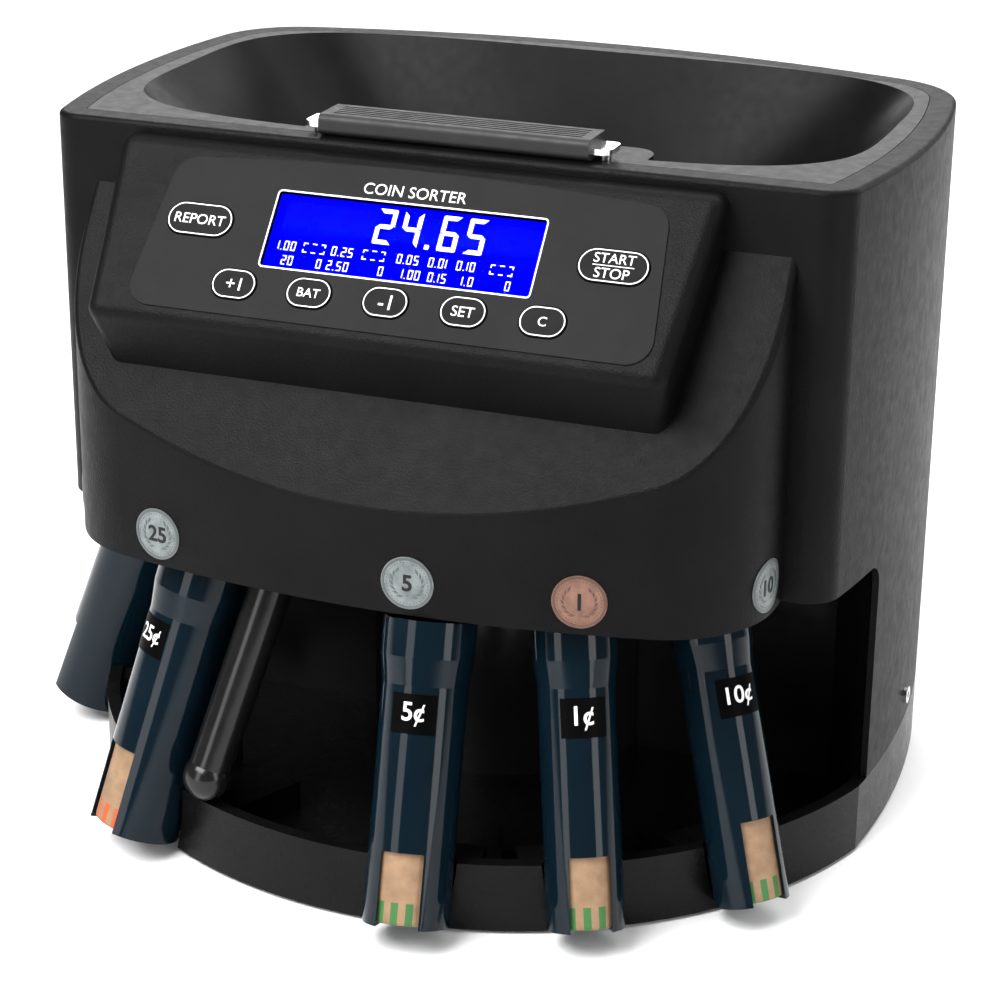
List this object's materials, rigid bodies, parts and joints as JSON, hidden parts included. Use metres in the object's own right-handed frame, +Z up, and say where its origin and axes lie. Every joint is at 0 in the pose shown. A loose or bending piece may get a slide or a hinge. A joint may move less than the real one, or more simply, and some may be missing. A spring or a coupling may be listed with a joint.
{
  "type": "coin sorting machine",
  "caption": "Table-top electric coin sorter: hopper on top, sloping console with display and keys, and leaning smoke tubes standing round a low base.",
  "frame": {"origin": "on the table under the axis of the sort disc", "axes": "+Z up, -Y out of the front where the console is, +X to the right of a person at the console"},
  "size_m": [0.3492, 0.2999, 0.2751],
  "materials": {
    "grained_black": "fine leather grain, satin",
    "gloss_black": "smooth gloss",
    "smooth_black": "smooth satin",
    "black_rubber": "matt",
    "bright_steel": "bright plated",
    "plain_steel": "turned",
    "overlay_grey": "smooth printed film",
    "clear_window": "clear",
    "display_blue": "lit display",
    "key_black": "satin with a printed edge",
    "board_green": "lacquered board",
    "moulded_black": "moulded",
    "switch_black": "gloss",
    "disc_grey": "moulded nylon",
    "bronze_bush": "sintered",
    "pulley_white": "moulded nylon",
    "motor_can": "drawn steel",
    "supply_metal": "laminated core",
    "smoke_tube": "translucent smoke",
    "kraft_paper": "kraft paper",
    "label_black": "printed film",
    "sticker_print": "printed film"
  },
  "bodies": {
    "machine": {"base_tray": "gloss_black", "rubber_feet": "black_rubber", "base_screws": "bright_steel", "main_housing": "grained_black", "front_drum": "grained_black", "control_console": "grained_black", "panel_overlay": "overlay_grey", "display_window": "clear_window", "lcd_module": "display_blue", "key_board": "board_green", "hopper_tray": "smooth_black", "carry_handle": "black_rubber", "handle_band": "bright_steel", "sort_deck": "smooth_black", "sort_rail": "smooth_black", "coin_sensors": "moulded_black", "spindle_bearing": "bronze_bush", "gear_motor": "motor_can", "drive_belt": "black_rubber", "motor_bracket": "plain_steel", "bay_wall": "gloss_black", "reject_chute": "gloss_black", "tube_stops": "gloss_black", "housing_screws": "bright_steel", "coin_stickers": "sticker_print", "power_inlet": "moulded_black", "switch_frame": "moulded_black", "data_port": "moulded_black", "main_board": "board_green", "power_supply": "supply_metal"},
    "key_report": {"key_report": "key_black"},
    "key_start_stop": {"key_start_stop": "key_black"},
    "key_plus_one": {"key_plus_one": "key_black"},
    "key_batch": {"key_batch": "key_black"},
    "key_minus_one": {"key_minus_one": "key_black"},
    "key_set": {"key_set": "key_black"},
    "key_clear": {"key_clear": "key_black"},
    "sort_rotor": {"sort_disc": "disc_grey", "disc_cap": "smooth_black", "spindle": "plain_steel", "disc_pulley": "pulley_white"},
    "motor_rotor": {"motor_shaft": "plain_steel", "motor_pulley": "pulley_white"},
    "power_rocker": {"power_rocker": "switch_black"},
    "coin_tube_100c": {"tube_100c": "smoke_tube", "wrapper_100c": "kraft_paper", "label_100c": "label_black"},
    "coin_tube_25c": {"tube_25c": "smoke_tube", "wrapper_25c": "kraft_paper", "label_25c": "label_black"},
    "coin_tube_5c": {"tube_5c": "smoke_tube", "wrapper_5c": "kraft_paper", "label_5c": "label_black"},
    "coin_tube_1c": {"tube_1c": "smoke_tube", "wrapper_1c": "kraft_paper", "label_1c": "label_black"},
    "coin_tube_10c": {"tube_10c": "smoke_tube", "wrapper_10c": "kraft_paper", "label_10c": "label_black"}
  },
  "joints": [
    {"name": "key_report_press", "type": "slide", "parent": "machine", "child": "key_report", "axis": [0, 0.7623, -0.6472], "range_m": [0, 0.001], "stiffness_N_per_m": 300},
    {"name": "key_start_stop_press", "type": "slide", "parent": "machine", "child": "key_start_stop", "axis": [0, 0.7623, -0.6472], "range_m": [0, 0.001], "stiffness_N_per_m": 300},
    {"name": "key_plus_one_press", "type": "slide", "parent": "machine", "child": "key_plus_one", "axis": [0, 0.7623, -0.6472], "range_m": [0, 0.001], "stiffness_N_per_m": 300},
    {"name": "key_batch_press", "type": "slide", "parent": "machine", "child": "key_batch", "axis": [0, 0.7623, -0.6472], "range_m": [0, 0.001], "stiffness_N_per_m": 300},
    {"name": "key_minus_one_press", "type": "slide", "parent": "machine", "child": "key_minus_one", "axis": [0, 0.7623, -0.6472], "range_m": [0, 0.001], "stiffness_N_per_m": 300},
    {"name": "key_set_press", "type": "slide", "parent": "machine", "child": "key_set", "axis": [0, 0.7623, -0.6472], "range_m": [0, 0.001], "stiffness_N_per_m": 300},
    {"name": "key_clear_press", "type": "slide", "parent": "machine", "child": "key_clear", "axis": [0, 0.7623, -0.6472], "range_m": [0, 0.001], "stiffness_N_per_m": 300},
    {"name": "disc_spin", "type": "hinge", "parent": "machine", "child": "sort_rotor", "pos_m": [0, 0, 0.12], "axis": [0, 0, 1], "continuous": true},
    {"name": "motor_spin", "type": "hinge", "parent": "machine", "child": "motor_rotor", "pos_m": [0, 0.055, 0.1], "axis": [0, 0, 1], "continuous": true},
    {"name": "power_switch", "type": "hinge", "parent": "machine", "child": "power_rocker", "pos_m": [-0.04585, 0.10524, 0.052], "axis": [0.9952, 0.0983, 0], "range_deg": [0, 20]},
    {"name": "tube_100c_pull", "type": "slide", "parent": "machine", "child": "coin_tube_100c", "axis": [-0.9703, -0.2419, 0], "range_m": [0, 0.08]},
    {"name": "tube_25c_pull", "type": "slide", "parent": "machine", "child": "coin_tube_25c", "axis": [-0.5592, -0.829, 0], "range_m": [0, 0.08]},
    {"name": "tube_5c_pull", "type": "slide", "parent": "machine", "child": "coin_tube_5c", "axis": [0.1392, -0.9903, 0], "range_m": [0, 0.08]},
    {"name": "tube_1c_pull", "type": "slide", "parent": "machine", "child": "coin_tube_1c", "axis": [0.4848, -0.8746, 0], "range_m": [0, 0.08]},
    {"name": "tube_10c_pull", "type": "slide", "parent": "machine", "child": "coin_tube_10c", "axis": [0.766, -0.6428, 0], "range_m": [0, 0.08]}
  ],
  "couplings": [
    {"joint": "motor_spin", "follows": "disc_spin", "ratio": 3.75}
  ]
}
